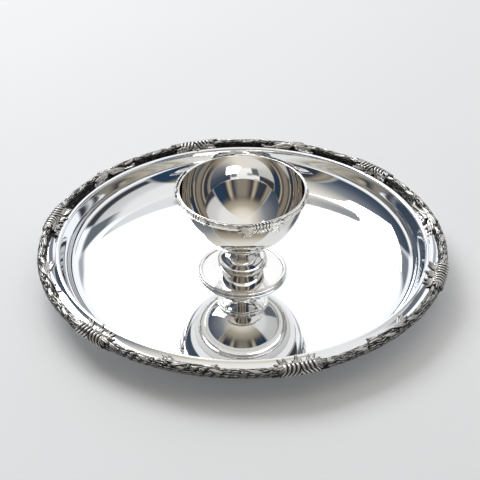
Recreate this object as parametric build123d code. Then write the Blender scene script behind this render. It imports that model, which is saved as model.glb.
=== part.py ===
"""Round church plate with an applied leaf border, and a loose footed bowl standing in its well.

Millimetres, +Z up. The origin is on the plate's axis, in the plane that the plate rests on.
Heights written as "above the well" are measured from the top of the flat well.
"""

import os
from math import acos, asin, cos, degrees, radians, sin, sqrt

from build123d import *

# Plate: driving dimensions
SHEET = 1.5  # thickness of the spun sheet
PLATE_RADIUS = 175.0  # outside of the border
WELL_RADIUS = 135.0  # flat well
COVE_RADIUS = 26.0  # concave wall of the well
COVE_START, COVE_END = 15.0, 75.0  # slope of the wall at its foot and at its top, degrees
COVE_STRAIGHT = 7.5  # straight stretch above the cove
LIP_RADIUS = 2.4  # rolled lip at the top of the wall
GUTTER_RADIUS = 13.0  # concave flange outside the lip
GUTTER_START, GUTTER_END = 38.0, 5.0  # falling slope of the flange, degrees
SHEET_EDGE_RADIUS = 173.0  # where the sheet ends, inside the border

# Border of the plate: a half-round moulding over the edge of the sheet
BORDER_HALF_WIDTH = 4.7
BORDER_CENTRE_HEIGHT = 23.6  # above the well
BORDER_LOW_EDGE = 1.9  # how far the moulding reaches below its own centre
ORNAMENT_COUNT = 6
FIRST_CLASP_ANGLE = 45.0

# Clasps and leaf sprays that lie over the border and the flange
ORNAMENT_LIFT = 1.3  # how far they stand off what they lie on
CLASP_HALF_WIDTH = 14.0  # ribbed middle of a clasp, along the border
FAN_HALF_WIDTH, FAN_HALF_DEPTH = 8.5, 5.4  # leaf fan at each end of a clasp
FAN_TILT = 20.0
TONGUE_HALF_WIDTH, TONGUE_REACH = 3.2, 10.0  # leaf that hangs inwards from its middle
SPRAY_LEAF_HALF_LENGTH, SPRAY_LEAF_HALF_DEPTH = 13.0, 3.2
SPRAY_CURL_PLACE = 23.0
SPRAY_FINGER_PLACE = 20.0

# Bowl
BOWL_RADIUS = 53.5  # outside of the bowl
BOWL_WALL = 1.3
BOWL_CENTRE_HEIGHT = 83.0  # centre of the hemisphere above the well
BOWL_LIP_HEIGHT = 84.5  # above the well
BOWL_BAND_HEIGHT = 5.0
BOWL_BAND_BULGE = 1.9  # how far the lip's moulding stands out
BOWL_BAND_TOP_EDGE = 0.8  # how far it still stands out at the lip
BOWL_ORNAMENT_COUNT = 3
FIRST_BOWL_CLASP_ANGLE = -72.6
BOWL_CLASP_HALF_WIDTH, BOWL_CLASP_DROP, BOWL_CLASP_LIFT = 22.0, 12.0, 1.5
BOWL_SPRAY_HALF_WIDTH, BOWL_SPRAY_DROP, BOWL_SPRAY_LIFT = 13.2, 8.4, 1.0

# Stem, heights above the well
COLLAR_RADIUS = 22.3
COLLAR_EDGE_RADIUS = 1.0
COLLAR_LOW, COLLAR_HIGH = 30.8, 35.0  # before the bowl is cut out of it
NECK_RADIUS = 8.4
NECK_LOW, NECK_HIGH = 24.5, 26.0
KNOP_RADIUS, KNOP_WIDEST = 21.3, 13.0
KNOP_LOW_RADIUS, KNOP_LOW = 15.0, 5.2
KNOP_SHOULDER_RADIUS, KNOP_SHOULDER = 15.5, 20.6
FLARE_RADIUS, FLARE_HEIGHT = 12.0, 29.2
FLARE_TOP_RADIUS = 19.5

# Foot
FOOT_RADIUS = 36.0  # centre line of the edge wire
FOOT_WIRE_RADIUS = 1.94
FOOT_WIRE_FLAT = 0.12  # worn flat under the wire
FOOT_SHEET = 1.5
FOOT_SEAT_RADIUS = 16.5  # flat middle that carries the knop
FOOT_WAIST_RADIUS, FOOT_WAIST = 24.0, 3.4
FOOT_RIM = 2.6
FOOT_HOLE_RADIUS = 10.5

# Fixing inside the knop
STUD_RADIUS = 2.5
STUD_CLEARANCE = 0.3
STUD_TAIL = 1.5  # thread below the nut
COUNTERBORE_RADIUS, COUNTERBORE_TOP = 9.0, 15.0
WASHER_RADIUS, WASHER_THICKNESS = 7.5, 1.2
NUT_ACROSS_FLATS, NUT_THICKNESS = 8.0, 4.0

WELL_TOP = SHEET


def polar(centre, radius, angle):
    """Point of a circle in the section plane; 0 degrees points outwards, 90 up."""
    turned = radians(angle)
    return (centre[0] + radius * cos(turned), centre[1] + radius * sin(turned))


def arc(centre, radius, start, end):
    """Arc of a section, given by three of its points."""
    middle = (start + end) / 2
    return ThreePointArc(
        polar(centre, radius, start), polar(centre, radius, middle), polar(centre, radius, end)
    )


def chain(*points):
    """Straight edges through the points."""
    return [Line(start, end) for start, end in zip(points, points[1:])]


def turn(edges, angle=360.0):
    """Solid swept by a closed section around the Z axis, from the +X side."""
    section = Plane.XZ * make_face(Wire(edges))
    return revolve(section, Axis.Z, angle)


def largest(shape):
    """Main solid of a boolean's result."""
    return max(shape.solids(), key=lambda piece: piece.volume)


# Section of the pan, worked out from its driving dimensions

cove_centre = (
    WELL_RADIUS - COVE_RADIUS * sin(radians(COVE_START)),
    WELL_TOP + COVE_RADIUS * cos(radians(COVE_START)),
)
cove_top = polar(cove_centre, COVE_RADIUS, COVE_END - 90)
wall_normal = (sin(radians(COVE_END)), -cos(radians(COVE_END)))
wall_top = polar(cove_top, COVE_STRAIGHT, COVE_END)
lip_centre = (
    wall_top[0] + LIP_RADIUS * wall_normal[0],
    wall_top[1] + LIP_RADIUS * wall_normal[1],
)
lip_end = polar(lip_centre, LIP_RADIUS, 90 - GUTTER_START)
gutter_centre = polar(lip_centre, LIP_RADIUS + GUTTER_RADIUS, 90 - GUTTER_START)
gutter_end = polar(gutter_centre, GUTTER_RADIUS, -90 - GUTTER_END)
flange_run = SHEET_EDGE_RADIUS - gutter_end[0]
flange_edge = (SHEET_EDGE_RADIUS, gutter_end[1] - flange_run * sin(radians(GUTTER_END)))
border_centre = (PLATE_RADIUS - BORDER_HALF_WIDTH, WELL_TOP + BORDER_CENTRE_HEIGHT)
border_inner = border_centre[0] - BORDER_HALF_WIDTH


def pan_section(drop):
    """Edges of the pan's upper side, or of a side lying a given distance below it."""
    foot_cosine = (cove_centre[1] - WELL_TOP + drop) / (COVE_RADIUS + drop)
    foot_slope = degrees(acos(min(1.0, foot_cosine)))
    well_edge = polar(cove_centre, COVE_RADIUS + drop, foot_slope - 90)
    low_wall = (cove_top[0] + wall_normal[0] * drop, cove_top[1] + wall_normal[1] * drop)
    high_wall = (wall_top[0] + wall_normal[0] * drop, wall_top[1] + wall_normal[1] * drop)
    gutter_foot = polar(gutter_centre, GUTTER_RADIUS + drop, 270 - GUTTER_END)
    return [
        Line((0, WELL_TOP - drop), well_edge),
        arc(cove_centre, COVE_RADIUS + drop, foot_slope - 90, COVE_END - 90),
        Line(low_wall, high_wall),
        arc(lip_centre, LIP_RADIUS - drop, 90 + COVE_END, 90 - GUTTER_START),
        arc(gutter_centre, GUTTER_RADIUS + drop, 270 - GUTTER_START, 270 - GUTTER_END),
        Line(gutter_foot, (flange_edge[0], flange_edge[1] - drop)),
    ]


def make_pan():
    """Spun pan, one sheet thick all over."""
    rim = Line(flange_edge, (flange_edge[0], flange_edge[1] - SHEET))
    axis = Line((0, WELL_TOP), (0, WELL_TOP - SHEET))
    return turn(pan_section(0.0) + [rim, axis] + pan_section(SHEET))


def moulding_section(lift):
    """Half-round section of the border, or the same section grown by a lift."""
    radius = BORDER_HALF_WIDTH + lift
    start = -degrees(asin(BORDER_LOW_EDGE / radius))
    outer_low = polar(border_centre, radius, start)
    inner_low = (2 * border_centre[0] - outer_low[0], outer_low[1])
    return [arc(border_centre, radius, start, 180 - start), Line(inner_low, outer_low)]


def below_flange():
    """Everything under the sheet's upper side, out to the sheet's edge."""
    floor = -10.0
    border = chain(flange_edge, (SHEET_EDGE_RADIUS, floor), (0, floor), (0, WELL_TOP))
    return turn(pan_section(0.0) + border)


def make_border_sections(pan):
    """Six mouldings that lie on the flange and wrap the edge of the sheet."""
    step = 360 / ORNAMENT_COUNT
    inside = border_centre[0] - 2 * BORDER_HALF_WIDTH
    underside = flange_edge[1] - SHEET
    room = turn(
        chain(
            (inside, underside),
            (SHEET_EDGE_RADIUS, underside),
            (SHEET_EDGE_RADIUS, 0),
            (inside, 0),
            (inside, underside),
        )
    )
    section = largest(turn(moulding_section(0.0), step) - pan - room)
    for number in range(ORNAMENT_COUNT):
        yield Rot(0, 0, FIRST_CLASP_ANGLE + number * step) * section


def ellipse_prism(place, half_sizes, heights, tilt=0.0):
    """Upright prism with an elliptical outline."""
    outline = Pos(place[0], place[1], heights[0]) * Rot(0, 0, tilt) * Ellipse(*half_sizes)
    return extrude(outline, heights[1] - heights[0])


def clasp_outline(heights):
    """Upright prism of a clasp on the +X side: ribbed block, two leaf fans, a tongue."""
    block_inner = border_inner - 1.0
    block_depth = PLATE_RADIUS + 4 - block_inner
    middle = (heights[0] + heights[1]) / 2
    block = Pos(block_inner + block_depth / 2, 0, middle) * Box(
        block_depth, 2 * CLASP_HALF_WIDTH, heights[1] - heights[0]
    )
    tongue_middle = border_inner - 2.0
    half_reach = TONGUE_REACH - 2.0
    shape = block + ellipse_prism((tongue_middle, 0), (half_reach, TONGUE_HALF_WIDTH), heights)
    for side in (-1, 1):
        place = (border_inner - 0.5, side * (CLASP_HALF_WIDTH - 0.5))
        shape += ellipse_prism(place, (FAN_HALF_DEPTH, FAN_HALF_WIDTH), heights, -side * FAN_TILT)
    return shape


def spray_outline(heights):
    """Upright prism of a leaf spray on the +X side: a curled leaf, and a fingered fan at +Y."""
    leaf_size = (SPRAY_LEAF_HALF_DEPTH, SPRAY_LEAF_HALF_LENGTH)
    leaf = ellipse_prism((border_inner + 1.0, -SPRAY_LEAF_HALF_LENGTH), leaf_size, heights, 4)
    curl = ellipse_prism((border_inner - 3.0, -SPRAY_CURL_PLACE), (3.0, 4.5), heights, 20)
    fan = ellipse_prism((border_inner + 0.5, 11), (4.2, 12), heights, -8)
    fingers = ellipse_prism((border_inner - 2.5, SPRAY_FINGER_PLACE), (4.2, 5.0), heights, -30)
    return leaf + curl + fan + fingers


def ornament_skin(angle):
    """Band that lies on the flange and over the border, as thick as the ornaments stand."""
    upper = GUTTER_RADIUS - ORNAMENT_LIFT
    gutter_low = polar(gutter_centre, upper, 270 - GUTTER_END)
    gutter_high = polar(gutter_centre, upper, 270 - GUTTER_START)
    bed_height = gutter_low[1] - 3 * ORNAMENT_LIFT
    bed = chain(
        gutter_low, (gutter_low[0], bed_height), (lip_end[0], bed_height), lip_end, gutter_high
    )
    band = [arc(gutter_centre, upper, 270 - GUTTER_START, 270 - GUTTER_END)] + bed
    return turn(moulding_section(ORNAMENT_LIFT), angle) + turn(band, angle)


def make_plate_ornaments():
    """Clasps over the border's joints and leaf sprays between them."""
    half_span = 12.0
    start = Rot(0, 0, -half_span)
    skin = start * ornament_skin(2 * half_span)
    bed = start * turn(moulding_section(0.0), 2 * half_span) + below_flange()
    heights = (WELL_TOP + 15, WELL_TOP + 34)
    clasp = largest((skin & clasp_outline(heights)) - bed)
    spray = largest((skin & spray_outline(heights)) - bed)
    mirrored = spray.mirror(Plane.XZ)
    step = 360 / ORNAMENT_COUNT
    for number in range(ORNAMENT_COUNT):
        angle = FIRST_CLASP_ANGLE + number * step
        leaf = spray if number % 3 == 1 else mirrored
        yield f"ribbed_clasp_{number + 1}", Rot(0, 0, angle) * clasp
        yield f"leaf_spray_{number + 1}", Rot(0, 0, angle + step / 2) * leaf


# Bowl

bowl_centre = (0.0, WELL_TOP + BOWL_CENTRE_HEIGHT)
bowl_lip = WELL_TOP + BOWL_LIP_HEIGHT
band_low = bowl_lip - BOWL_BAND_HEIGHT


def make_bowl():
    """Spun bowl: a hemisphere with a short straight lip."""
    inside = BOWL_RADIUS - BOWL_WALL
    lip = chain(
        (BOWL_RADIUS, bowl_centre[1]),
        (BOWL_RADIUS, bowl_lip),
        (inside, bowl_lip),
        (inside, bowl_centre[1]),
    )
    pole = Line((0, bowl_centre[1] - inside), (0, bowl_centre[1] - BOWL_RADIUS))
    outer = arc(bowl_centre, BOWL_RADIUS, -90, 0)
    inner = arc(bowl_centre, inside, 0, -90)
    return turn([outer, *lip, inner, pole])


def bowl_solid(lift):
    """Filled bowl with its wall moved outwards, open upwards without end."""
    radius = BOWL_RADIUS + lift
    top = bowl_lip + 10
    sides = chain((radius, bowl_centre[1]), (radius, top), (0, top), (0, bowl_centre[1] - radius))
    return turn([arc(bowl_centre, radius, -90, 0), *sides])


def band_section(lift):
    """Section of the lip's border: a low half-round band outside the bowl."""
    bulge = BOWL_RADIUS + BOWL_BAND_BULGE + lift
    bottom = (BOWL_RADIUS + lift, band_low - lift)
    top = (BOWL_RADIUS + BOWL_BAND_TOP_EDGE + lift, bowl_lip + lift * 0.4)
    inside = BOWL_RADIUS - 1.0
    return [
        ThreePointArc(bottom, (bulge, (bottom[1] + top[1]) / 2), top),
        *chain(top, (inside, top[1]), (inside, bottom[1]), bottom),
    ]


def make_bowl_borders(core):
    """Three mouldings around the lip."""
    step = 360 / BOWL_ORNAMENT_COUNT
    section = largest(turn(band_section(0.0), step) - core)
    for number in range(BOWL_ORNAMENT_COUNT):
        yield Rot(0, 0, FIRST_BOWL_CLASP_ANGLE + number * step) * section


def bowl_ornament(core, half_width, drop, lift):
    """Ornament on the +X side of the bowl that covers the band and hangs below it."""
    angle = 2 * degrees(asin(half_width / BOWL_RADIUS)) + 6
    inner, outer, low, high = 20, 70, 20, bowl_lip + 1
    wedge = turn(
        chain((inner, low), (outer, low), (outer, high), (inner, high), (inner, low)), angle
    )
    skin = (bowl_solid(lift) + turn(band_section(lift * 0.8))) & (Rot(0, 0, -angle / 2) * wedge)
    tongue = Pos(0, bowl_lip - drop * 0.45) * Ellipse(half_width * 0.5, drop * 0.62)
    shape = extrude(Plane.YZ * tongue, outer)
    for side in (-1, 1):
        place = Pos(side * half_width * 0.58, bowl_lip - drop * 0.42) * Rot(0, 0, side * 14)
        fan = place * Ellipse(half_width * 0.46, drop * 0.42)
        shape += extrude(Plane.YZ * fan, outer)
    return largest((skin & shape) - core - turn(band_section(0.0)))


# Stem and foot


def above_well(radius, height):
    """Point of a section, by its height above the well."""
    return (radius, WELL_TOP + height)


def knop_section():
    """Outline of the cast knop and its neck, from the foot up to the collar."""
    foot, neck_low = above_well(KNOP_LOW_RADIUS, KNOP_LOW), above_well(NECK_RADIUS, NECK_LOW)
    neck_high, flare_top = above_well(NECK_RADIUS, NECK_HIGH), above_well(FLARE_TOP_RADIUS, COLLAR_LOW)
    widest = above_well(KNOP_RADIUS, KNOP_WIDEST)
    shoulder = above_well(KNOP_SHOULDER_RADIUS, KNOP_SHOULDER)
    flare = above_well(FLARE_RADIUS, FLARE_HEIGHT)
    bore = STUD_RADIUS + STUD_CLEARANCE
    return [
        Spline([foot, widest, shoulder, neck_low], tangents=[(0.85, 0.35), (0, 1)]),
        Line(neck_low, neck_high),
        Spline([neck_high, flare, flare_top], tangents=[(0, 1), (1, 0.05)]),
        *chain(
            flare_top,
            above_well(bore, COLLAR_LOW),
            above_well(bore, COUNTERBORE_TOP),
            above_well(COUNTERBORE_RADIUS, COUNTERBORE_TOP),
            above_well(COUNTERBORE_RADIUS, KNOP_LOW),
            foot,
        ),
    ]


def make_collar():
    """Disc under the bowl, hollowed to the bowl's own curve, with a rounded edge."""
    bore = STUD_RADIUS + STUD_CLEARANCE
    shoulder = COLLAR_RADIUS - COLLAR_EDGE_RADIUS
    low_edge, high_edge = above_well(shoulder, COLLAR_LOW), above_well(shoulder, COLLAR_HIGH)
    inner_high, inner_low = above_well(bore, COLLAR_HIGH), above_well(bore, COLLAR_LOW)
    edge = ThreePointArc(low_edge, above_well(COLLAR_RADIUS, COLLAR_LOW + COLLAR_EDGE_RADIUS), high_edge)
    disc = turn([edge, *chain(high_edge, inner_high, inner_low, low_edge)])
    return largest(disc - bowl_solid(0.0))


def foot_section():
    """Section of the spun foot: a shallow concave dish that carries the knop."""
    seat, seat_under = (above_well(FOOT_SEAT_RADIUS, KNOP_LOW - drop) for drop in (0, FOOT_SHEET))
    waist, waist_under = (above_well(FOOT_WAIST_RADIUS, FOOT_WAIST - drop) for drop in (0, FOOT_SHEET))
    rim, rim_under = (above_well(FOOT_RADIUS, FOOT_RIM - drop) for drop in (0, FOOT_SHEET))
    hole, hole_under = (above_well(FOOT_HOLE_RADIUS, KNOP_LOW - drop) for drop in (0, FOOT_SHEET))
    return [
        Line(hole, seat),
        Spline([seat, waist, rim], tangents=[(1, -0.45), (1, -0.05)]),
        Line(rim, rim_under),
        Spline([rim_under, waist_under, seat_under], tangents=[(-1, 0.05), (-1, 0.45)]),
        *chain(seat_under, hole_under, hole),
    ]


def make_edge_wire(foot):
    """Wire ring around the foot, with a narrow worn flat where it stands on the well."""
    centre = (FOOT_RADIUS, WELL_TOP + FOOT_WIRE_RADIUS - FOOT_WIRE_FLAT)
    ring = turn([CenterArc(centre, FOOT_WIRE_RADIUS, 0, 360)])
    below = Pos(0, 0, WELL_TOP - 5) * Cylinder(FOOT_RADIUS + 5, 10)
    return largest(ring - below - foot)


def upright(radius, low, high):
    """Upright cylinder between two heights."""
    return Pos(0, 0, (low + high) / 2) * Cylinder(radius, high - low)


def make_fixing():
    """Rod, washer and nut that draw the foot, the knop and the collar up to the bowl."""
    washer_high = WELL_TOP + COUNTERBORE_TOP
    washer_low = washer_high - WASHER_THICKNESS
    nut_low = washer_low - NUT_THICKNESS
    bowl_low = bowl_centre[1] - sqrt(BOWL_RADIUS**2 - STUD_RADIUS**2)
    hole = STUD_RADIUS + STUD_CLEARANCE
    stud = upright(STUD_RADIUS, nut_low - STUD_TAIL, bowl_low + 0.5) - bowl_solid(0.0)
    washer = upright(WASHER_RADIUS, washer_low, washer_high) - upright(hole, washer_low, washer_high)
    hexagon = RegularPolygon(NUT_ACROSS_FLATS / 2, 6, major_radius=False)
    nut = extrude(Pos(0, 0, nut_low) * (hexagon - Circle(STUD_RADIUS)), NUT_THICKNESS)
    return {"stem_stud": largest(stud), "foot_washer": washer, "foot_nut": nut}


def plate_parts():
    """Pieces of the plate, by node name."""
    pan = make_pan()
    parts = {"plate_pan": pan}
    for number, section in enumerate(make_border_sections(pan), start=1):
        parts[f"rim_border_{number}"] = section
    parts.update(make_plate_ornaments())
    return parts


def bowl_parts():
    """Pieces of the footed bowl, by node name."""
    core = bowl_solid(0.0)
    parts = {"bowl_shell": make_bowl()}
    for number, section in enumerate(make_bowl_borders(core), start=1):
        parts[f"bowl_border_{number}"] = section
    clasp = bowl_ornament(core, BOWL_CLASP_HALF_WIDTH, BOWL_CLASP_DROP, BOWL_CLASP_LIFT)
    spray = bowl_ornament(core, BOWL_SPRAY_HALF_WIDTH, BOWL_SPRAY_DROP, BOWL_SPRAY_LIFT)
    step = 360 / BOWL_ORNAMENT_COUNT
    for number in range(BOWL_ORNAMENT_COUNT):
        angle = FIRST_BOWL_CLASP_ANGLE + number * step
        parts[f"bowl_clasp_{number + 1}"] = Rot(0, 0, angle) * clasp
        parts[f"bowl_leaf_spray_{number + 1}"] = Rot(0, 0, angle + step / 2) * spray
    foot = turn(foot_section())
    parts["stem_collar"] = make_collar()
    parts["stem_knop"] = largest(turn(knop_section()) - core)
    parts["foot_dish"] = foot
    parts["foot_edge_wire"] = make_edge_wire(foot)
    parts.update(make_fixing())
    return parts


def main():
    os.makedirs("parts", exist_ok=True)
    for name, shape in {**plate_parts(), **bowl_parts()}.items():
        export_step(shape, f"parts/{name}.step")


main()
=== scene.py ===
"""Looks of a round silvered church plate with a leaf border, and of the footed bowl standing on it.

Lengths are written in millimetres and turned into metres where a mesh is made.
"""

import math

import bmesh
import bpy
import numpy as np
from mathutils import Matrix, Vector


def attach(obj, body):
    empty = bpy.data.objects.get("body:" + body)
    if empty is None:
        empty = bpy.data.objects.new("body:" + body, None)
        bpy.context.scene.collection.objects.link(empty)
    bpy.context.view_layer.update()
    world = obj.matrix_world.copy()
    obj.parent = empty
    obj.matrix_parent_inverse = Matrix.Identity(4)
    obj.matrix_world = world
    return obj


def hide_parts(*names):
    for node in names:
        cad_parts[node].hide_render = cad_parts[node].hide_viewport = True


MM = 0.001

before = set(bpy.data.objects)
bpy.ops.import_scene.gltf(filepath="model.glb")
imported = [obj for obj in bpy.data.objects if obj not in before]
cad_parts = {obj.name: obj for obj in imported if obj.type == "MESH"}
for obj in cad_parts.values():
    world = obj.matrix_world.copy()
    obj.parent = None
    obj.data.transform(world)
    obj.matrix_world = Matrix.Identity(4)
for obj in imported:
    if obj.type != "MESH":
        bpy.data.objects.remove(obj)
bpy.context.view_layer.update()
scene = bpy.context.scene


# Driving dimensions, as in the CAD source

SHEET = 1.5
WELL_TOP = SHEET
PLATE_RADIUS = 175.0
WELL_RADIUS = 135.0
FLAT_EDGE = 0.8  # narrow last ring of the flat, which keeps its shading flat
COVE_RADIUS = 26.0
COVE_START, COVE_END = 15.0, 75.0
COVE_STRAIGHT = 7.5
LIP_RADIUS = 2.4
GUTTER_RADIUS = 13.0
GUTTER_START, GUTTER_END = 38.0, 5.0
SHEET_EDGE_RADIUS = 173.0

BORDER_RADIUS = 4.7
BORDER_CENTRE = (PLATE_RADIUS - BORDER_RADIUS, WELL_TOP + 23.6)
BORDER_INNER_ANGLE, BORDER_OUTER_ANGLE = 173.0, -23.0
ORNAMENT_COUNT = 6
FIRST_CLASP_ANGLE = 45.0

BOWL_RADIUS = 53.5
BOWL_WALL = 1.3
BOWL_CENTRE = (0.0, WELL_TOP + 83.0)
BOWL_LIP = WELL_TOP + 84.5
BAND_HEIGHT = 5.0
BAND_BULGE = 1.9
BAND_TOP_EDGE = 0.8
BOWL_ORNAMENT_COUNT = 3
FIRST_BOWL_CLASP_ANGLE = -72.6


# Sections


def polar(centre, radius, angle):
    """Point of a circle in a section, angle in degrees from outwards."""
    turned = math.radians(angle)
    return (centre[0] + radius * math.cos(turned), centre[1] + radius * math.sin(turned))


def arc(centre, radius, start, end, count):
    """Points of an arc, both ends included."""
    return [polar(centre, radius, start + (end - start) * i / count) for i in range(count + 1)]


def straight(start, end, count):
    """Points of a straight stretch, both ends included."""
    return [
        (start[0] + (end[0] - start[0]) * i / count, start[1] + (end[1] - start[1]) * i / count)
        for i in range(count + 1)
    ]


def joined(*stretches):
    """One line of points out of several, without doubled points."""
    points = []
    for stretch in stretches:
        for point in stretch:
            if not points or math.dist(points[-1], point) > 1e-4:
                points.append(point)
    return points


def rounded(corners, radii, count=8):
    """Line through the corners, each inner one rounded by its radius."""
    points = [corners[0]]
    for before, corner, after, radius in zip(corners, corners[1:], corners[2:], radii):
        back = (Vector(before) - Vector(corner)).normalized()
        ahead = (Vector(after) - Vector(corner)).normalized()
        half = back.angle(ahead) / 2
        shorter = min(math.dist(before, corner), math.dist(corner, after))
        reach = min(radius / math.tan(half), 0.49 * shorter)
        start, end = Vector(corner) + back * reach, Vector(corner) + ahead * reach
        for i in range(count + 1):
            t = i / count
            point = start * (1 - t) ** 2 + Vector(corner) * 2 * t * (1 - t) + end * t**2
            points.append((point.x, point.y))
    points.append(corners[-1])
    return joined(points)


def smooth_line(points, step, spread):
    """The line resampled at even steps and softened over the given length."""
    line = np.array(points, float)
    run = np.concatenate([[0], np.cumsum(np.hypot(*np.diff(line, axis=0).T))])
    even = np.arange(0, run[-1], step)
    line = np.stack([np.interp(even, run, line[:, k]) for k in (0, 1)], 1)
    if spread <= 0:
        return line
    reach = int(3 * spread / step)
    weights = np.exp(-0.5 * (np.arange(-reach, reach + 1) * step / spread) ** 2)
    weights /= weights.sum()
    head = 2 * line[0] - line[reach:0:-1]
    tail = 2 * line[-1] - line[-2 : -reach - 2 : -1]
    padded = np.concatenate([head, line, tail])
    return np.stack([np.convolve(padded[:, k], weights, "valid") for k in (0, 1)], 1)


cove_centre = (
    WELL_RADIUS - COVE_RADIUS * math.sin(math.radians(COVE_START)),
    WELL_TOP + COVE_RADIUS * math.cos(math.radians(COVE_START)),
)
cove_top = polar(cove_centre, COVE_RADIUS, COVE_END - 90)
wall_top = polar(cove_top, COVE_STRAIGHT, COVE_END)
lip_centre = polar(wall_top, LIP_RADIUS, COVE_END - 90)
gutter_centre = polar(lip_centre, LIP_RADIUS + GUTTER_RADIUS, 90 - GUTTER_START)


def pan_side(drop):
    """Upper side of the spun sheet, or the side that lies a given distance below it."""
    foot_cosine = (cove_centre[1] - WELL_TOP + drop) / (COVE_RADIUS + drop)
    foot_slope = math.degrees(math.acos(min(1.0, foot_cosine)))
    foot_height = WELL_TOP - drop
    well_edge = polar(cove_centre, COVE_RADIUS + drop, foot_slope - 90)
    shift = polar((0, 0), drop, COVE_END - 90)
    low_wall = (cove_top[0] + shift[0], cove_top[1] + shift[1])
    high_wall = (wall_top[0] + shift[0], wall_top[1] + shift[1])
    flange = polar(gutter_centre, GUTTER_RADIUS + drop, 270 - GUTTER_END)
    run = SHEET_EDGE_RADIUS - flange[0]
    edge = (SHEET_EDGE_RADIUS, flange[1] - run * math.sin(math.radians(GUTTER_END)))
    return joined(
        straight((0, foot_height), (well_edge[0] - FLAT_EDGE, foot_height), 12),
        straight((well_edge[0] - FLAT_EDGE, foot_height), well_edge, 2),
        arc(cove_centre, COVE_RADIUS + drop, foot_slope - 90, COVE_END - 90, 48),
        straight(low_wall, high_wall, 4),
        arc(lip_centre, LIP_RADIUS - drop, 90 + COVE_END, 90 - GUTTER_START, 20),
        arc(gutter_centre, GUTTER_RADIUS + drop, 270 - GUTTER_START, 270 - GUTTER_END, 14),
        straight(flange, edge, 3),
    )


# Meshes


def make_object(name, points, faces):
    """Smooth mesh object in the row frame; points in millimetres, normals made to point outwards."""
    mesh = bpy.data.meshes.new(name)
    mesh.from_pydata((np.asarray(points, float) * MM).tolist(), [], faces)
    work = bmesh.new()
    work.from_mesh(mesh)
    bmesh.ops.recalc_face_normals(work, faces=work.faces)
    work.to_mesh(mesh)
    work.free()
    mesh.polygons.foreach_set("use_smooth", [True] * len(mesh.polygons))
    piece = bpy.data.objects.new(name, mesh)
    scene.collection.objects.link(piece)
    return piece


def lathe(name, section, segments):
    """Closed turned piece from a closed section, whose points at radius 0 become poles."""
    points, rings = [], []
    for radius, height in section:
        first = len(points)
        if radius < 1e-6:
            points.append((0, 0, height))
            rings.append([first] * segments)
            continue
        for i in range(segments):
            turned = 2 * math.pi * i / segments
            points.append((radius * math.cos(turned), radius * math.sin(turned), height))
        rings.append(list(range(first, first + segments)))
    faces = []
    for low, high in zip(rings, rings[1:] + rings[:1]):
        if low[0] == low[1] and high[0] == high[1]:
            continue
        for i in range(segments):
            j = (i + 1) % segments
            face = [low[i], low[j], high[j], high[i]]
            faces.append([v for k, v in enumerate(face) if v != face[k - 1]])
    return make_object(name, points, faces)


def relief(name, line, radius, centre_angle, along, across, shape, sink):
    """Relief that lies on a surface of revolution, as a closed mesh.

    line(w) gives places and outward normals of the bed's section, w in millimetres across.
    shape(s, w) gives the height above the bed, and how dark the place is made, 0 to 1: how far it lies in a
    hollow, and on the border's inner side painted shade.
    The mesh reaches down to sink below the bed; cells that lie near that depth are left out.
    """
    s, w = np.meshgrid(along, across, indexing="ij")
    height, hollow = shape(s, w)
    place, normal = line(w)
    turned = math.radians(centre_angle) + s / radius
    layers = []
    for lift in (height, np.full_like(height, -sink)):
        r = place[..., 0] + normal[..., 0] * lift
        z = place[..., 1] + normal[..., 1] * lift
        layers.append(np.stack([r * np.cos(turned), r * np.sin(turned), z], -1))
    cell_corners = [height[:-1, :-1], height[1:, :-1], height[:-1, 1:], height[1:, 1:]]
    kept = np.maximum.reduce(cell_corners) > -sink * 0.8
    rows, columns = height.shape
    number = np.arange(rows * columns).reshape(rows, columns)
    under = number + rows * columns
    corner = [(0, 0), (1, 0), (1, 1), (0, 1)]
    cells = np.argwhere(kept)
    top = [[number[i + a, j + b] for a, b in corner] for i, j in cells]
    bottom = [[under[i + a, j + b] for a, b in reversed(corner)] for i, j in cells]
    walls = []
    guarded = np.pad(kept, 1)
    sides = [((-1, 0), (0, 3)), ((1, 0), (2, 1)), ((0, -1), (1, 0)), ((0, 1), (3, 2))]
    for i, j in cells:
        for (di, dj), (p, q) in sides:
            if not guarded[i + 1 + di, j + 1 + dj]:
                a = (i + corner[p][0], j + corner[p][1])
                b = (i + corner[q][0], j + corner[q][1])
                walls.append([number[a], number[b], under[b], under[a]])
    faces = top + bottom + walls
    used = np.unique(np.array(faces))
    renumber = np.full(2 * rows * columns, -1)
    renumber[used] = np.arange(len(used))
    points = np.concatenate([layer.reshape(-1, 3) for layer in layers])[used]
    piece = make_object(name, points, renumber[np.array(faces)].tolist())
    # Darkness per point, kept in the "hollow" attribute: the hollows' dark patina, the border's painted
    # inner-side shade, and the layer underneath made fully dark as painted shade under the relief
    hollow_and_shade = np.concatenate([hollow.ravel(), np.ones(rows * columns)])[used]
    attribute = piece.data.attributes.new("hollow", "FLOAT", "POINT")
    attribute.data.foreach_set("value", hollow_and_shade.astype(np.float32))
    return piece


def bed(points, spread, zero):
    """Bed function of relief(): w is measured along the softened line from its place nearest to zero."""
    step = 0.2
    line = smooth_line(points, step, spread)
    tangent = np.gradient(line, axis=0)
    tangent /= np.linalg.norm(tangent, axis=1)[:, None]
    normal = np.stack([-tangent[:, 1], tangent[:, 0]], 1)
    start = int(np.argmin(np.hypot(*(line - np.array(zero)).T)))
    run = (np.arange(len(line)) - start) * step

    def at(w):
        places = np.stack([np.interp(w, run, line[:, k]) for k in (0, 1)], -1)
        normals = np.stack([np.interp(w, run, normal[:, k]) for k in (0, 1)], -1)
        return places, normals

    at.low, at.high = run[0], run[-1]
    return at


def steps(low, high, size):
    """Even places from low to high."""
    return np.linspace(low, high, max(2, int(round((high - low) / size)) + 1))


# Relief patterns


def soft(value, low, high):
    """0 below low, 1 above high, smooth between."""
    t = np.clip((value - low) / (high - low), 0, 1)
    return t * t * (3 - 2 * t)


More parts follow.
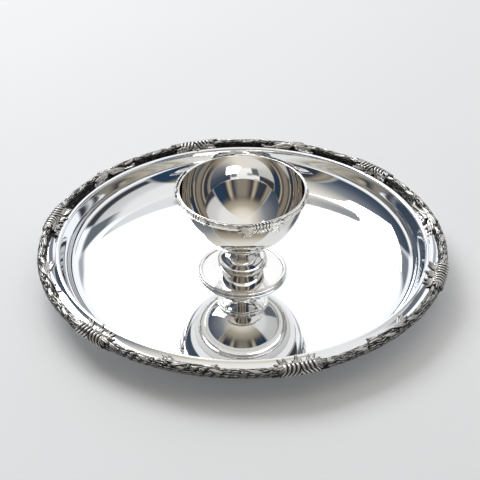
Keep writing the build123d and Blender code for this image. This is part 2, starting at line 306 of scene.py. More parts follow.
def wander(s, w, scale, seed):
    """Smooth seeded variation between about -1 and 1."""
    total = np.zeros_like(s)
    random = np.random.default_rng(seed)
    for octave in range(3):
        for _ in range(3):
            direction = random.uniform(0, 2 * math.pi)
            phase = random.uniform(0, 2 * math.pi)
            pitch = scale / (1 + 0.9 * octave)
            wave = 2 * math.pi * (s * math.cos(direction) + w * math.sin(direction)) / pitch
            total += np.sin(wave + phase) / (3 + 3 * octave)
    return total


def leaf(s, w, root, length, width, direction, bend=0.0):
    """Height 0 to 1 of one leaf blade with a grooved midrib; direction in degrees."""
    turned = math.radians(direction)
    ds, dw = s - root[0], w - root[1]
    x = (ds * math.cos(turned) + dw * math.sin(turned)) / length
    y = (-ds * math.sin(turned) + dw * math.cos(turned)) / width - bend * x * x
    girth = np.sqrt(np.clip(x, 0, 1)) * np.sqrt(np.clip(1 - x, 0, 1)) * 2
    inside = 1 - (y / np.maximum(girth, 1e-3)) ** 2
    dome = np.sqrt(np.clip(inside, 0, 1)) * (girth > 0.02)
    groove = 0.45 * np.exp(-((y * width / 0.45) ** 2)) * soft(x, 0.05, 0.2)
    return dome * (1 - groove)


def fan(s, w, root, length, width, direction, spread, count):
    """Leaf of several fingers that spread from one root."""
    height = np.zeros_like(s)
    for k in range(count):
        share = k / (count - 1) - 0.5
        reach = length * (1 - 0.5 * abs(share))
        height = np.maximum(height, leaf(s, w, root, reach, width, direction + share * spread))
    return height


def bark(s, w, pitch, seed, knots):
    """Strands that run along the border and part around round buds; height 0 to 1."""
    flow = w + 0.5 * pitch * wander(s, w, 17.0, seed)
    ring = np.zeros_like(s)
    mask = np.zeros_like(s)
    for place, across, size in knots:
        away = np.hypot(s - place, w - across)
        flow = flow - size**2 * (w - across) / np.maximum(away, size) ** 2
        bud = soft(size - away, -0.15, 0.25)
        rings = 0.55 + 0.45 * np.cos(2 * math.pi * away / (size * 0.8))
        ring = np.where(bud > mask, rings, ring)
        mask = np.maximum(mask, bud)
    strands = 0.5 + 0.5 * np.cos(2 * math.pi * flow / pitch + 0.8 * wander(s, w, 9.0, seed + 1))
    strands = strands * (0.62 + 0.38 * wander(s, w, 6.0, seed + 2))
    return np.clip(strands * (1 - mask) + ring * mask, 0, 1)


def border_shape(seed, length, low, high):
    """Height of one stretch of the plate's border, which is low to high across, and how dark it is made:
    hollows, and painted shade on the inner side.
    """
    blade_pitch = 15.0
    random = np.random.default_rng(seed)
    count = int(length / 9.0)
    knots = []
    for k in range(count):
        place = (k + 0.5 + random.uniform(-0.3, 0.3)) * length / count - length / 2
        knots.append((place, random.uniform(-3.5, 4.5), random.uniform(0.9, 1.5)))

    def shape(s, w):
        pattern = bark(s, w, 1.9, seed, knots)
        for k in range(int(length / blade_pitch)):
            place = (k + 0.5) * blade_pitch - length / 2
            side = 1 if k % 2 else -1
            blade = leaf(s, w, (place - 5, side * 0.5), 11.0, 1.6, side * 18, -side * 0.4)
            around = pattern * (1 - 0.8 * soft(blade, 0.0, 0.15))
            pattern = np.where(blade > 0.2, 0.35 + 0.65 * blade, around)
        fade = soft(w, low, low + 1.2) * soft(high - w, 0.3, 1.8)
        hollow = soft(0.66 - pattern, 0.0, 0.42)
        # Painted shade: the whole inner side of the moulding is made darker
        inner_side_shade = soft(-w, 1.6, 4.2)
        # The tops stay just under the bed, which is the outside of the solid
        return -0.9 + 0.85 * pattern * fade, np.clip(0.95 * hollow + 0.85 * inner_side_shade, 0, 1)

    return shape


BURIED = 0.45  # how deep an ornament's mesh dips beside its outline


def raised(height, lift, gain, base, worn, fade):
    """Height above the bed and hollows of an ornament whose pattern runs from 0 to 1."""
    inside = soft(height, 0.02, 0.16)
    above = lift * (gain * height + base) * inside - BURIED * (1 - inside)
    return above, soft(worn - height, 0.0, fade)


def ribbing(away, w, pitch, bend, middle):
    """Ribs that bow away from the middle of an ornament, 0 to 1, and how far they bow."""
    bow = bend * (w - middle) ** 2
    return 0.5 + 0.5 * np.cos(2 * math.pi * (away - bow) / pitch + math.pi), bow


def clasp_shape(lift):
    """Ribbed clasp: bowed ribs, two leaf fans at each end, a tongue inwards."""
    half_width, low, high = 13.6, -8.2, 9.2

    def shape(s, w):
        away = np.abs(s)
        ribs, bow = ribbing(away, w, 3.4, 0.085, 1.0)
        edge = soft(half_width - away + 0.7 * bow, 0.0, 1.2)
        edge = edge * soft(w, low, low + 1.4) * soft(high - w, 0.0, 1.0)
        block = edge * (0.2 + 0.8 * ribs**0.7)
        leaves = fan(s, w, (0, -5.5), 11.5, 2.0, -90, 50, 3)
        leaves = np.maximum(leaves, fan(away, w, (7.0, -4.5), 15.5, 1.8, -36, 64, 4))
        leaves = np.maximum(leaves, fan(away, w, (11.5, 1.0), 10.5, 1.7, 6, 60, 3) * 0.85)
        return raised(np.maximum(block, leaves), lift, 1.2, 0.12, 0.84, 0.42)

    return shape


def spray_shape(lift, side):
    """Leaf spray: a smooth leaf with a curled tip one way, a fingered fan the other way."""

    def shape(s, w):
        x = s * side
        body = leaf(x, w, (2.0, -2.5), 27.0, 2.5, 194, 0.9)
        curl = leaf(x, w, (-17.0, -8.6), 9.5, 1.7, 168, -1.0)
        body = np.maximum(body, leaf(x, w, (4.0, -3.0), 17.0, 2.0, 206, -0.4))
        fingers = fan(x, w, (6.0, -3.6), 22.0, 1.75, -20, 34, 4)
        fingers = np.maximum(fingers, fan(x, w, (0.0, -1.5), 18.0, 1.6, 2, 30, 3) * 0.85)
        height = np.maximum(np.maximum(body, curl), fingers)
        return raised(height, lift, 1.1, 0.12, 0.82, 0.45)

    return shape


def band_shape(seed, length):
    """Height and hollows of one stretch of the bowl's border."""
    random = np.random.default_rng(seed)
    count = int(length / 6.0)
    knots = [
        ((k + 0.5) * length / count - length / 2, random.uniform(-1.2, 1.2), random.uniform(0.5, 0.8))
        for k in range(count)
    ]

    def shape(s, w):
        pattern = bark(s, w, 1.7, seed, knots)
        fade = soft(w, -3.4, -2.6) * soft(3.1 - w, 0.0, 0.8)
        return -0.5 + 0.45 * pattern * fade, 0.5 * soft(0.5 - pattern, 0.0, 0.5) * fade

    return shape


def bowl_mount_shape(lift, half_width, drop):
    """Ribbed mount on the bowl: ribs in the middle, lobed leaves to both sides and below."""

    def shape(s, w):
        away = np.abs(s)
        ribs, bow = ribbing(away, w, 2.6, 0.05, 3.0)
        reach = half_width * 0.42
        edge = soft(reach - away - 0.5 * bow, 0.0, 1.2)
        edge = edge * soft(w, -0.6, 0.2) * soft(drop * 0.86 - w, 0.0, 1.4)
        height = edge * (0.4 + 0.6 * ribs)
        for level, slope, length in ((2.0, 6, 0.62), (4.6, 16, 0.66), (7.0, 34, 0.56)):
            root = (half_width * 0.3, level * drop / 12)
            blade = fan(away, w, root, half_width * length, drop * 0.13, slope, 30, 3)
            height = np.maximum(height, blade)
        below = fan(s, w, (0, drop * 0.6), drop * 0.42, drop * 0.12, 90, 80, 4)
        height = np.maximum(height, below * 0.9) * soft(w, -0.6, 0.9)
        return raised(height, lift, 1.0, 0.1, 0.8, 0.45)

    return shape


# Materials


def new_material(name):
    """Empty node material with a Principled shader; returns its nodes, links and shader."""
    made = bpy.data.materials.new(name)
    made.use_nodes = True
    tree = made.node_tree
    return made, tree.nodes, tree.links, tree.nodes["Principled BSDF"]


def mixed(nodes, links, factor, low, high):
    """Colour between two constants or links."""
    node = nodes.new("ShaderNodeMix")
    node.data_type = "RGBA"
    links.new(factor, node.inputs["Factor"])
    for socket, value in zip((node.inputs[6], node.inputs[7]), (low, high)):
        if isinstance(value, tuple):
            socket.default_value = (*value, 1)
        else:
            links.new(value, socket)
    return node.outputs[2]


def ranged(nodes, links, value, low, high, from_low=0.0, from_high=1.0):
    """Value mapped onto a range."""
    node = nodes.new("ShaderNodeMapRange")
    links.new(value, node.inputs["Value"])
    node.inputs["From Min"].default_value = from_low
    node.inputs["From Max"].default_value = from_high
    node.inputs["To Min"].default_value = low
    node.inputs["To Max"].default_value = high
    return node.outputs["Result"]


def noise_at(nodes, links, scale, detail=3.0, stretch=(1, 1, 1)):
    """Noise in the row frame; scale in cells per metre."""
    place = nodes.new("ShaderNodeTexCoord")
    mapping = nodes.new("ShaderNodeMapping")
    mapping.inputs["Scale"].default_value = stretch
    links.new(place.outputs["Object"], mapping.inputs["Vector"])
    node = nodes.new("ShaderNodeTexNoise")
    node.inputs["Scale"].default_value = scale
    node.inputs["Detail"].default_value = detail
    links.new(mapping.outputs["Vector"], node.inputs["Vector"])
    return node.outputs["Fac"]


def add_bump(nodes, links, shader, value, strength, distance):
    """Small surface relief."""
    node = nodes.new("ShaderNodeBump")
    node.inputs["Strength"].default_value = strength
    node.inputs["Distance"].default_value = distance
    links.new(value, node.inputs["Height"])
    links.new(node.outputs["Normal"], shader.inputs["Normal"])


def polished_silver(name, light=(0.965, 0.965, 0.955), shade=(0.93, 0.925, 0.90), rough=(0.015, 0.05)):
    """Mirror silver with faint cloudiness and wiping marks."""
    made, nodes, links, shader = new_material(name)
    cloud = noise_at(nodes, links, 22.0)
    links.new(mixed(nodes, links, cloud, light, shade), shader.inputs["Base Color"])
    wiping = noise_at(nodes, links, 160.0, 5.0, (1, 6, 1))
    links.new(ranged(nodes, links, wiping, *rough, 0.35, 0.75), shader.inputs["Roughness"])
    shader.inputs["Metallic"].default_value = 1.0
    return made


def chased_silver(name, bright, dark, rough=(0.16, 0.5)):
    """Cast silver: bright on the high places, darkened by a per-point value: dark patina in the hollows, and
    painted shade on the border's inner side and under the relief.
    """
    made, nodes, links, shader = new_material(name)
    attribute = nodes.new("ShaderNodeAttribute")
    attribute.attribute_name = "hollow"
    hollow_and_shade = attribute.outputs["Fac"]
    grime = noise_at(nodes, links, 420.0, 4.0)
    smudge = ranged(nodes, links, grime, -0.18, 0.22)
    total = nodes.new("ShaderNodeMath")
    total.operation = "ADD"
    total.use_clamp = True
    links.new(hollow_and_shade, total.inputs[0])
    links.new(smudge, total.inputs[1])
    links.new(mixed(nodes, links, total.outputs[0], bright, dark), shader.inputs["Base Color"])
    links.new(ranged(nodes, links, total.outputs[0], *rough), shader.inputs["Roughness"])
    shader.inputs["Metallic"].default_value = 1.0
    grain = noise_at(nodes, links, 1500.0, 2.0)
    add_bump(nodes, links, shader, grain, 0.25, 0.0001)
    return made


def turned_brass(name):
    """Brass with the rings of a lathe tool."""
    made, nodes, links, shader = new_material(name)
    marks = noise_at(nodes, links, 60.0, 2.0, (0.1, 0.1, 40))
    links.new(mixed(nodes, links, marks, (0.80, 0.66, 0.34), (0.62, 0.48, 0.22)), shader.inputs["Base Color"])
    links.new(ranged(nodes, links, marks, 0.2, 0.42), shader.inputs["Roughness"])
    shader.inputs["Metallic"].default_value = 1.0
    add_bump(nodes, links, shader, marks, 0.3, 0.0001)
    return made


def place_piece(piece, body, slot, material, *nodes):
    """Gives a piece its body, its material and the CAD nodes it stands for, which it hides; the slot is not
    used.
    """
    piece.data.materials.clear()
    piece.data.materials.append(material)
    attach(piece, body)
    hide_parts(*nodes)


silver = polished_silver("polished_silver", (0.94, 0.955, 0.965), (0.90, 0.915, 0.93))
bowl_silver = polished_silver("polished_bowl_silver", (0.93, 0.92, 0.90), (0.88, 0.865, 0.835), (0.02, 0.06))
border_silver = chased_silver("border_silver", (0.50, 0.49, 0.47), (0.022, 0.021, 0.020))
leaf_silver = chased_silver("leaf_silver", (0.64, 0.625, 0.60), (0.022, 0.02, 0.019))
bowl_leaf_silver = chased_silver("bowl_leaf_silver", (0.93, 0.91, 0.88), (0.06, 0.055, 0.05), (0.14, 0.36))
brass = turned_brass("turned_brass")


# Plate

ORNAMENT_STEP = 360 / ORNAMENT_COUNT
RIM = BORDER_CENTRE[0]
RELIEF_STEP = 0.4  # size of the cells of the plate's reliefs
BORDER_STEP = 0.45  # the same along the border
JOINT_GAP = 0.05  # beside each end of a border moulding
BORDER_SINK, ORNAMENT_SINK = 2.2, 0.6
CLASP_REACH, CLASP_INWARDS, CLASP_LIFT = 23.0, 17.5, 1.15
SPRAY_REACH, SPRAY_INWARDS, SPRAY_OUTWARDS, SPRAY_LIFT = 30.0, 14.0, 4.0, 1.2

moulding = arc(BORDER_CENTRE, BORDER_RADIUS, BORDER_INNER_ANGLE, BORDER_OUTER_ANGLE, 80)
crown = polar(BORDER_CENTRE, BORDER_RADIUS, 90)
moulding_bed = bed(moulding, 0.0, crown)
ornament_line = joined(
    straight(polar(wall_top, -3.0, COVE_END), wall_top, 4),
    arc(lip_centre, LIP_RADIUS, 90 + COVE_END, 90 - GUTTER_START, 20),
    arc(gutter_centre, GUTTER_RADIUS, 270 - GUTTER_START, 270 - GUTTER_END, 14),
    moulding,
)
ornament_bed = bed(ornament_line, 0.7, crown)


def make_pan():
    """Spun pan, one sheet thick."""
    section = joined(pan_side(0.0), list(reversed(pan_side(SHEET))))
    pan = lathe("spun_pan", section, 768)
    place_piece(pan, "plate", "polished_silver", silver, "plate_pan")


def make_border(number, middle):
    """One moulding of the border, around the given angle."""
    length = math.radians(ORNAMENT_STEP) * RIM
    half = length / 2 - JOINT_GAP
    low, high = moulding_bed.low, moulding_bed.high
    piece = relief(
        f"vine_border_{number}", moulding_bed, RIM, middle,
        steps(-half, half, BORDER_STEP), steps(low, high, RELIEF_STEP),
        border_shape(10 + number, length, low, high), BORDER_SINK,
    )
    place_piece(piece, "plate", "chased_silver", border_silver, f"rim_border_{number}")


def make_clasp(number, angle):
    """Ribbed clasp over a joint of the border."""
    piece = relief(
        f"clasp_relief_{number}", ornament_bed, RIM, angle,
        steps(-CLASP_REACH, CLASP_REACH, RELIEF_STEP),
        steps(-CLASP_INWARDS, moulding_bed.high, RELIEF_STEP),
        clasp_shape(CLASP_LIFT), ORNAMENT_SINK,
    )
    place_piece(piece, "plate", "chased_silver", leaf_silver, f"ribbed_clasp_{number}")


def make_spray(number, angle, hand):
    """Leaf spray between two clasps; hand turns its fan one way or the other."""
    piece = relief(
        f"spray_relief_{number}", ornament_bed, RIM, angle,
        steps(-SPRAY_REACH, SPRAY_REACH, RELIEF_STEP),
        steps(-SPRAY_INWARDS, SPRAY_OUTWARDS, RELIEF_STEP),
        spray_shape(SPRAY_LIFT, hand), ORNAMENT_SINK,
    )
    place_piece(piece, "plate", "chased_silver", leaf_silver, f"leaf_spray_{number}")


make_pan()
for number in range(ORNAMENT_COUNT):
    clasp_angle = FIRST_CLASP_ANGLE + number * ORNAMENT_STEP
    spray_angle = clasp_angle + ORNAMENT_STEP / 2
    make_border(number + 1, spray_angle)
    make_clasp(number + 1, clasp_angle)
    make_spray(number + 1, spray_angle, 1 if number % 3 == 1 else -1)


# Bowl

BOWL_ORNAMENT_STEP = 360 / BOWL_ORNAMENT_COUNT
BOWL_RELIEF_STEP = 0.35
BAND_STEP = 0.3  # size of the band's cells across it
BAND_GAP, BAND_SINK = 0.03, 0.9
MOUNT_SINK, MOUNT_TOP = 0.5, 0.6
MOUNT_HALF_WIDTH, MOUNT_DROP, MOUNT_LIFT = 22.0, 13.5, 1.3
SCROLL_HALF_WIDTH, SCROLL_DROP, SCROLL_LIFT = 13.0, 8.0, 0.8
MOUNT_REACH, MOUNT_DEPTH = 23.0, 15.0  # field in which a mount's mesh is made
SCROLL_REACH, SCROLL_DEPTH = 14.0, 11.0  # the same for a scroll

band_low = BOWL_LIP - BAND_HEIGHT
band_middle = BOWL_LIP - BAND_HEIGHT / 2
band_line = rounded(
    [
        (BOWL_RADIUS - 0.4, BOWL_LIP),
        (BOWL_RADIUS + BAND_TOP_EDGE + 0.5, BOWL_LIP),
        (BOWL_RADIUS + BAND_BULGE + 0.3, band_middle),
        (BOWL_RADIUS + 0.2, band_low),
        (BOWL_RADIUS - 0.6, band_low),
    ],
    [0.8, 3.0, 0.4],
)
band_bed = bed(band_line, 0.25, (BOWL_RADIUS + BAND_BULGE, band_middle))
mount_line = joined(band_line[:-2], arc(BOWL_CENTRE, BOWL_RADIUS, -6, -40, 40))
mount_bed = bed(mount_line, 0.6, (BOWL_RADIUS + BAND_TOP_EDGE, BOWL_LIP))


def make_bowl():
    """Spun bowl: a half sphere with a rounded lip."""
    half_wall = BOWL_WALL / 2
    section = joined(
        arc(BOWL_CENTRE, BOWL_RADIUS, -90, 0, 64),
        arc((BOWL_RADIUS - half_wall, BOWL_LIP - half_wall), half_wall, 0, 180, 12),
        arc(BOWL_CENTRE, BOWL_RADIUS - BOWL_WALL, 0, -90, 64),
    )
    section[0] = (0, section[0][1])
    section[-1] = (0, section[-1][1])
    bowl = lathe("spun_bowl", section, 384)
    place_piece(bowl, "footed_bowl", "polished_silver", bowl_silver, "bowl_shell")


def make_band(number, middle):
    """One stretch of the moulding around the bowl's lip."""
    length = math.radians(BOWL_ORNAMENT_STEP) * BOWL_RADIUS
    half = length / 2 - BAND_GAP
    piece = relief(
        f"bowl_band_{number}", band_bed, BOWL_RADIUS, middle,
        steps(-half, half, BOWL_RELIEF_STEP), steps(band_bed.low, band_bed.high, BAND_STEP),
        band_shape(30 + number, length), BAND_SINK,
    )
    place_piece(piece, "footed_bowl", "chased_silver", bowl_leaf_silver, f"bowl_border_{number}")


def make_mount(name, node, angle, reach, hollow_and_shade, shape):
    """Mount on the bowl's lip, within the given reach to both sides and depth below the lip."""
    piece = relief(
        name, mount_bed, BOWL_RADIUS, angle,
        steps(-reach, reach, BOWL_RELIEF_STEP), steps(-MOUNT_TOP, hollow_and_shade, BOWL_RELIEF_STEP),
        shape, MOUNT_SINK,
    )
    place_piece(piece, "footed_bowl", "chased_silver", bowl_leaf_silver, node)


make_bowl()
for number in range(1, BOWL_ORNAMENT_COUNT + 1):
    angle = FIRST_BOWL_CLASP_ANGLE + (number - 1) * BOWL_ORNAMENT_STEP
    middle = angle + BOWL_ORNAMENT_STEP / 2
    make_band(number, middle)
    make_mount(
        f"bowl_mount_{number}", f"bowl_clasp_{number}", angle, MOUNT_REACH, MOUNT_DEPTH,
        bowl_mount_shape(MOUNT_LIFT, MOUNT_HALF_WIDTH, MOUNT_DROP),
    )
    make_mount(
        f"bowl_scroll_{number}", f"bowl_leaf_spray_{number}", middle, SCROLL_REACH, SCROLL_DEPTH,
        bowl_mount_shape(SCROLL_LIFT, SCROLL_HALF_WIDTH, SCROLL_DROP),
    )


# Stem and foot, heights above the well

BORE = 2.8  # radius of the hole for the stud
COUNTERBORE_RADIUS, COUNTERBORE_TOP = 9.0, 15.0
KNOP_FOOT = 5.2
COLLAR_LOW, COLLAR_EDGE = 30.8, 2.6
COLLAR_RADIUS, COLLAR_INNER = 22.3, 12.0
SEAT_GAP = 0.02  # how far the collar reaches into the bowl
FOOT_SHEET = 1.5
FOOT_RADIUS = 36.0  # centre line of the wire around the foot
FOOT_HOLE = 10.5  # radius of the hole in the foot, below the counterbore
WIRE_RADIUS = 1.94
WIRE_FLAT = 0.12  # worn flat under the wire
WIRE_CENTRE = (FOOT_RADIUS, WELL_TOP + WIRE_RADIUS - WIRE_FLAT)
STEM_SEGMENTS = 256


def bowl_under(radius):
    """Height of the bowl's underside at a radius."""
    return BOWL_CENTRE[1] - math.sqrt(BOWL_RADIUS**2 - radius**2)


def lifted(points):
    """Points whose heights are given above the well."""
    return [(radius, WELL_TOP + height) for radius, height in points]


def make_stem_piece(name, section, node):
    """Turned piece below the bowl."""
    piece = lathe(name, section, STEM_SEGMENTS)
    place_piece(piece, "footed_bowl", "polished_silver", bowl_silver, node)


def collar_section():
    """Disc under the bowl, hollowed to the bowl's shape."""
    shoulder = COLLAR_RADIUS - COLLAR_EDGE
    outline = rounded(
        lifted([
            (COLLAR_INNER, COLLAR_LOW), (COLLAR_RADIUS, COLLAR_LOW),
            (COLLAR_RADIUS, COLLAR_LOW + COLLAR_EDGE),
        ])
        + [(shoulder, bowl_under(shoulder) + SEAT_GAP)],
        [0.9, 0.7],
    )
    seat = [(radius, bowl_under(radius) + SEAT_GAP) for radius in (18.0, 16.0, 14.0)]
    inner_height = max(bowl_under(COLLAR_INNER), WELL_TOP + COLLAR_LOW + 0.2)
    return joined(outline, seat, [(COLLAR_INNER, inner_height)])


def knop_section():
    """Cushion knop with its neck and flare, counterbored from below."""
    profile = lifted([
        (15.0, KNOP_FOOT), (17.6, 6.4), (20.0, 8.6), (21.2, 12.0), (21.0, 14.5), (19.4, 17.6), (15.6, 20.7),
        (11.0, 22.8), (8.8, 24.2), (8.4, 25.4), (9.0, 27.0), (11.6, 29.0), (15.5, 30.3), (19.5, 30.75),
    ])
    inside = lifted([
        (19.5, COLLAR_LOW), (BORE, COLLAR_LOW), (BORE, COUNTERBORE_TOP),
        (COUNTERBORE_RADIUS, COUNTERBORE_TOP), (COUNTERBORE_RADIUS, KNOP_FOOT),
    ])
    return joined([tuple(point) for point in smooth_line(profile, 0.35, 0.8)], inside)


def foot_section():
    """Thin dish under the knop."""
    profile = lifted([(16.5, KNOP_FOOT), (19.0, 4.5), (22.0, 3.8), (25.5, 3.3), (30.0, 2.9), (35.5, 2.6)])
    top = [tuple(point) for point in smooth_line(profile, 0.5, 1.0)]
    under = [(radius, height - FOOT_SHEET) for radius, height in reversed(top)]
    seat = lifted([(FOOT_HOLE, KNOP_FOOT)])
    seat_under = lifted([(FOOT_HOLE, KNOP_FOOT - FOOT_SHEET)])
    return joined(seat, top, under, seat_under)


make_stem_piece("turned_collar", collar_section(), "stem_collar")
make_stem_piece("cast_knop", knop_section(), "stem_knop")
make_stem_piece("spun_foot", foot_section(), "foot_dish")
make_stem_piece("foot_wire", arc(WIRE_CENTRE, WIRE_RADIUS, -68, 248, 36), "foot_edge_wire")

# The fixing keeps its solids from the CAD and only gets a material
for node in ("stem_stud", "foot_washer", "foot_nut"):
    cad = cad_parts[node]
    cad.data.materials.clear()
    cad.data.materials.append(brass)


# Floor


def make_floor(half_size):
    """Pale floor with faint, wide flecks."""
    corners = [(-1, -1), (1, -1), (1, 1), (-1, 1)]
    mesh = bpy.data.meshes.new("floor")
    places = [(x * half_size * MM, y * half_size * MM, 0) for x, y in corners]
    mesh.from_pydata(places, [], [(0, 1, 2, 3)])
    floor = bpy.data.objects.new("floor", mesh)
    scene.collection.objects.link(floor)
    made, nodes, links, shader = new_material("pale_floor")
    fleck = mixed(
        nodes, links, noise_at(nodes, links, 3.0), (0.90, 0.915, 0.935), (0.92, 0.935, 0.955)
    )
    links.new(fleck, shader.inputs["Base Color"])
    shader.inputs["Roughness"].default_value = 0.75
    mesh.materials.append(made)


make_floor(6000.0)


# Room that the silver mirrors: white behind the object, dim on the camera's side.
# A bearing is a share of half a turn: 0 on the camera's side, 1 straight behind, positive on the right.
# A height is that of a direction, from 0 at the horizon to 1 overhead.

world = bpy.data.worlds.new("studio")
scene.world = world
world.use_nodes = True
room_nodes, room_links = world.node_tree.nodes, world.node_tree.links
room_nodes.clear()


def room_value(operation, first, second=None):
    """Result of a sum on one or two links or numbers."""
    node = room_nodes.new("ShaderNodeMath")
    node.operation = operation
    for socket, value in zip(node.inputs, (first, second)):
        if isinstance(value, (int, float)):
            socket.default_value = value
        elif value is not None:
            room_links.new(value, socket)
    return node.outputs[0]


def room_step(value, low, high):
    """0 below low, 1 above high, smooth between; falling if high is the smaller."""
    node = room_nodes.new("ShaderNodeMapRange")
    node.interpolation_type = "SMOOTHSTEP"
    room_links.new(value, node.inputs["Value"])
    node.inputs["From Min"].default_value = min(low, high)
    node.inputs["From Max"].default_value = max(low, high)
    node.inputs["To Min"].default_value = 0.0 if high > low else 1.0
    node.inputs["To Max"].default_value = 1.0 if high > low else 0.0
    return node.outputs["Result"]


def room_band(value, low, high, edge):
    """1 between two values, with soft edges."""
    rising = room_step(value, low - edge, low + edge)
    falling = room_step(value, high + edge, high - edge)
    return room_value("MULTIPLY", rising, falling)


def room_ramp(value, stops):
    """Colour by value, from 0 to 1."""
    node = room_nodes.new("ShaderNodeValToRGB")
    room_links.new(value, node.inputs[0])
    elements = node.color_ramp.elements
    elements[0].position, elements[0].color = stops[0][0], (*stops[0][1], 1)
    elements[1].position, elements[1].color = stops[-1][0], (*stops[-1][1], 1)
    for position, colour in stops[1:-1]:
        elements.new(position).color = (*colour, 1)
    return node.outputs[0]


axes = room_nodes.new("ShaderNodeSeparateXYZ")
room_links.new(room_nodes.new("ShaderNodeTexCoord").outputs["Generated"], axes.inputs[0])
east, height = axes.outputs["X"], axes.outputs["Z"]
half_turns = room_value("ARCTAN2", east, room_value("MULTIPLY", axes.outputs["Y"], -1.0))
bearing = room_value("DIVIDE", half_turns, math.pi)
sideways = room_value("ABSOLUTE", bearing)

CAMERA_SIDE_END, RIGHT_WALL_END, LEFT_WALL_END = 0.34, 0.66, 0.78
WALL_BLUR = 0.015
INK, BLACK = (0.03, 0.04, 0.06), (0.05, 0.05, 0.06)
BROWN, SLATE = (0.26, 0.23, 0.19), (0.14, 0.16, 0.18)
TABLE_WHITE = (0.92, 0.93, 0.95)


def patch(bearings, bearing_blur, heights, height_blur):
    """1 within a patch of the room."""
    return room_value(
        "MULTIPLY", room_band(bearing, *bearings, bearing_blur), room_band(height, *heights, height_blur)
    )


def backdrop():
    """White backdrop, brighter upwards."""
    return room_ramp(height, [(0.0, (0.92, 0.94, 0.97)), (0.3, (1.02, 1.04, 1.08)), (1.0, (1.2, 1.2, 1.2))])


def right_wall():
    """Light wall with a black strip."""
    return room_ramp(height, [
        (0.0, TABLE_WHITE), (0.23, TABLE_WHITE), (0.26, BLACK),
        (0.44, BLACK), (0.50, (0.60, 0.60, 0.60)), (1.0, (0.75, 0.75, 0.75)),
    ])


def left_wall():
    """Dark blue wall above a pale foot."""
    return room_ramp(height, [
        (0.0, (0.66, 0.70, 0.75)), (0.20, (0.60, 0.64, 0.70)), (0.25, (0.04, 0.06, 0.09)),
        (0.5, (0.08, 0.10, 0.14)), (0.8, (0.24, 0.25, 0.27)), (1.0, (0.5, 0.47, 0.42)),
    ])


def left_wall_end():
    """Upper part of the left wall, where it goes over into the backdrop."""
    return room_value(
        "MULTIPLY", room_band(bearing, -0.925, -0.76, WALL_BLUR), room_step(height, 0.50, 0.58)
    )


def ceiling():
    """Ceiling from left to right: dark, tan, light."""
    across = room_value("ADD", room_value("MULTIPLY", east, 0.5), 0.5)
    return room_ramp(across, [
        (0.0, (0.10, 0.12, 0.15)), (0.20, (0.26, 0.28, 0.31)), (0.30, (0.62, 0.59, 0.53)),
        (0.40, (0.88, 0.85, 0.79)), (0.56, (0.88, 0.87, 0.85)), (0.75, (0.84, 0.84, 0.84)),
        (1.0, (0.7, 0.7, 0.7)),
    ])


def camera_side():
    """Black, blue and tan stripes from left to right, with tan towards the ceiling."""
    from_left = room_value("ADD", room_value("MULTIPLY", bearing, 1.4), 0.5)
    stripes = room_ramp(from_left, [
        (0.0, INK), (0.08, (0.34, 0.29, 0.22)), (0.13, INK),
        (0.24, BLACK), (0.29, (0.50, 0.44, 0.35)), (0.34, (0.04, 0.04, 0.05)),
        (0.44, BROWN), (0.56, BROWN), (0.65, INK),
        (0.71, (0.56, 0.48, 0.36)), (0.76, INK), (0.88, (0.02, 0.05, 0.10)),
        (1.0, INK),
    ])
    levels = room_ramp(height, [
        (0.0, (0.12, 0.10, 0.08)), (0.36, (0.06, 0.06, 0.06)), (0.50, (0.10, 0.09, 0.08)),
        (0.72, (0.17, 0.15, 0.12)), (0.88, (0.46, 0.41, 0.33)), (0.95, (0.74, 0.69, 0.61)),
        (1.0, (0.86, 0.83, 0.77)),
    ])
    return mixed(room_nodes, room_links, room_band(height, 0.02, 0.72, 0.10), levels, stripes)


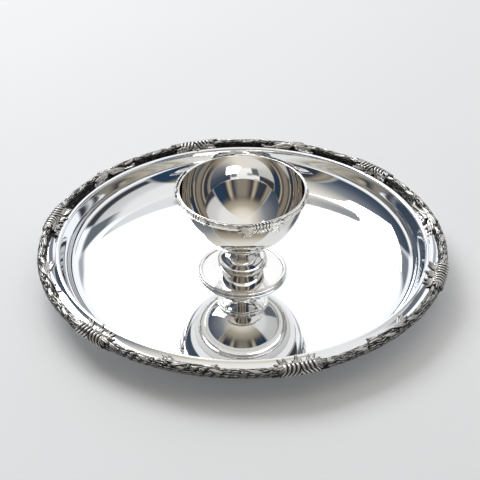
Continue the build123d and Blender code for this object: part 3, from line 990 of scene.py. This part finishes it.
table_rise = room_value("MULTIPLY", room_step(sideways, 0.12, 0.42), 0.17)
above_table = room_value("SUBTRACT", height, table_rise)
not_behind = room_step(sideways, 0.78, 0.74)
walls = [
    (patch((0.80, 0.90), 0.02, (0.38, 0.52), 0.04), (0.40, 0.43, 0.46)),  # grey column behind
    (patch((-0.90, -0.79), 0.02, (0.30, 0.52), 0.04), (0.20, 0.22, 0.25)),  # dark column behind
    (room_band(bearing, CAMERA_SIDE_END, RIGHT_WALL_END, WALL_BLUR), right_wall()),
    (patch((RIGHT_WALL_END, 0.80), WALL_BLUR, (0.44, 0.80), 0.05), SLATE),  # slate panel
    (room_band(bearing, -LEFT_WALL_END, -CAMERA_SIDE_END, WALL_BLUR), left_wall()),
    (left_wall_end(), (0.30, 0.33, 0.38)),
    (room_step(height, 0.70, 0.82), ceiling()),
    (room_band(bearing, -CAMERA_SIDE_END, CAMERA_SIDE_END, 0.02), camera_side()),
    # The white table, and the dark line beyond it; both stand higher at the sides
    (room_value("MULTIPLY", not_behind, room_band(above_table, 0.035, 0.06, 0.01)), (0.06, 0.06, 0.07)),
    (room_value("MULTIPLY", not_behind, room_step(above_table, 0.04, 0.03)), TABLE_WHITE),
]
colour = backdrop()
for place, tint in walls:
    colour = mixed(room_nodes, room_links, place, colour, tint)
background = room_nodes.new("ShaderNodeBackground")
room_links.new(colour, background.inputs[0])
room_links.new(background.outputs[0], room_nodes.new("ShaderNodeOutputWorld").inputs[0])


def make_softbox(place, size, energy):
    """Soft light that looks at the origin; metres and watts."""
    light = bpy.data.lights.new("softbox", "AREA")
    light.shape = "RECTANGLE"
    light.size, light.size_y = size
    light.energy = energy
    softbox = bpy.data.objects.new("softbox", light)
    softbox.location = place
    softbox.rotation_euler = (-softbox.location).to_track_quat("-Z", "Y").to_euler()
    scene.collection.objects.link(softbox)


make_softbox((-1.0, 1.4, 1.8), (1.6, 1.2), 30)


# Camera

IMAGE_SIZE = 480
FOCAL = 1740.44  # in pixels of an image 480 wide
SENSOR = 36.0
ELEVATION = math.radians(35.7)
ROLL = math.radians(0.36)
DISTANCE = 1500.0
SHIFT = (-2.6, 30.83)  # in pixels

camera_data = bpy.data.cameras.new("camera")
camera_data.lens = FOCAL / IMAGE_SIZE * SENSOR
camera_data.sensor_width = SENSOR
camera_data.shift_x = SHIFT[0] / IMAGE_SIZE
camera_data.shift_y = SHIFT[1] / IMAGE_SIZE
camera_data.clip_end = 50
camera = bpy.data.objects.new("camera", camera_data)
scene.collection.objects.link(camera)
offset = Vector((0, -math.cos(ELEVATION), math.sin(ELEVATION))) * DISTANCE * MM
forward = -offset.normalized()
right = Vector((1, 0, 0))
facing = Matrix((right, right.cross(forward), -forward)).transposed().to_4x4()
facing = facing @ Matrix.Rotation(-ROLL, 4, "Z")
facing.translation = offset + Vector((0, 0, WELL_TOP * MM))
camera.matrix_world = facing
scene.camera = camera
scene.view_settings.view_transform = "Standard"
